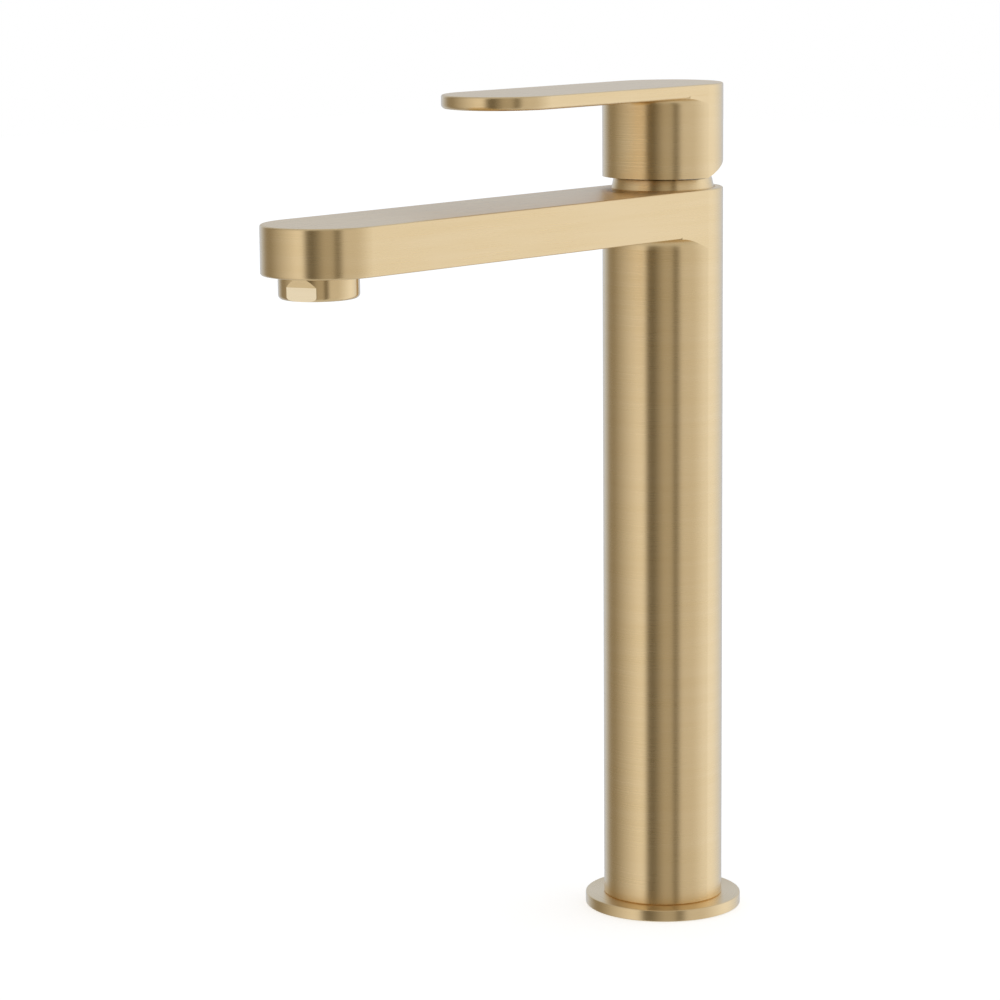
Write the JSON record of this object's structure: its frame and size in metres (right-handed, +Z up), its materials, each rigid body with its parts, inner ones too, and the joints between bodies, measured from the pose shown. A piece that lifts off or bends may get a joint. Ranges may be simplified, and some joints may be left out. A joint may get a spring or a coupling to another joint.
{
  "type": "bathroom mixer faucet",
  "caption": "Tall single-lever basin mixer: round column on a thin flange, long flat spout with a screwed aerator, and a flat lever that lifts for flow and turns for temperature.",
  "frame": {"origin": "centre of the base on the deck plane", "axes": "+Z up along the column, the spout and the lever point to -Y, the hot side is -X"},
  "size_m": [0.0592, 0.2247, 0.3136],
  "materials": {
    "body_and_spout": "satin brushed gold",
    "base_flange": "satin brushed gold",
    "collar_ring": "satin brushed gold",
    "handle_lever": "satin brushed gold",
    "handle_screw_plug": "satin brushed gold",
    "aerator_housing": "satin brushed gold",
    "aerator_screen": "moulded",
    "aerator_plastic": "moulded",
    "cartridge_plastic": "moulded",
    "ceramic": "lapped ceramic",
    "plain_brass": "machined",
    "steel": "machined",
    "seal_rubber": "matte"
  },
  "bodies": {
    "tap": {"body_and_spout": "body_and_spout", "base_flange": "base_flange", "flange_oring": "seal_rubber", "base_gasket": "seal_rubber", "inlet_manifold": "plain_brass", "hot_supply_tube": "plain_brass", "cold_supply_tube": "plain_brass", "supply_tube_seals": "seal_rubber", "valve_seat_block": "plain_brass", "spout_water_tube": "plain_brass", "water_tube_seals": "seal_rubber", "aerator_housing": "aerator_housing", "aerator_insert": "aerator_plastic", "aerator_screen": "aerator_screen", "aerator_washer": "seal_rubber", "flow_regulator": "aerator_plastic", "cartridge_housing": "cartridge_plastic", "cartridge_base": "cartridge_plastic", "port_seals": "seal_rubber", "fixed_ceramic_disc": "ceramic", "cartridge_nut": "plain_brass", "collar_ring": "collar_ring", "collar_grip_ring": "seal_rubber"},
    "turret": {"turret": "cartridge_plastic", "stem_pin": "steel"},
    "disc": {"moving_ceramic_disc": "ceramic", "disc_carrier": "cartridge_plastic"},
    "handle": {"handle_lever": "handle_lever", "stem": "plain_brass", "handle_grub_screw": "steel", "handle_screw_plug": "handle_screw_plug"}
  },
  "joints": [
    {"name": "temperature_turn", "type": "hinge", "parent": "tap", "child": "turret", "pos_m": [0, 0, 0.2713], "axis": [0, 0, 1], "range_deg": [-45, 45]},
    {"name": "handle_lift", "type": "hinge", "parent": "turret", "child": "handle", "pos_m": [0, 0, 0.2713], "axis": [-1, 0, 0], "range_deg": [0, 22]},
    {"name": "disc_slide", "type": "slide", "parent": "turret", "child": "disc", "axis": [0, -1, 0], "range_m": [0, 0.0039]}
  ],
  "couplings": [
    {"joint": "disc_slide", "follows": "handle_lift", "m_per_rad": 0.01}
  ]
}
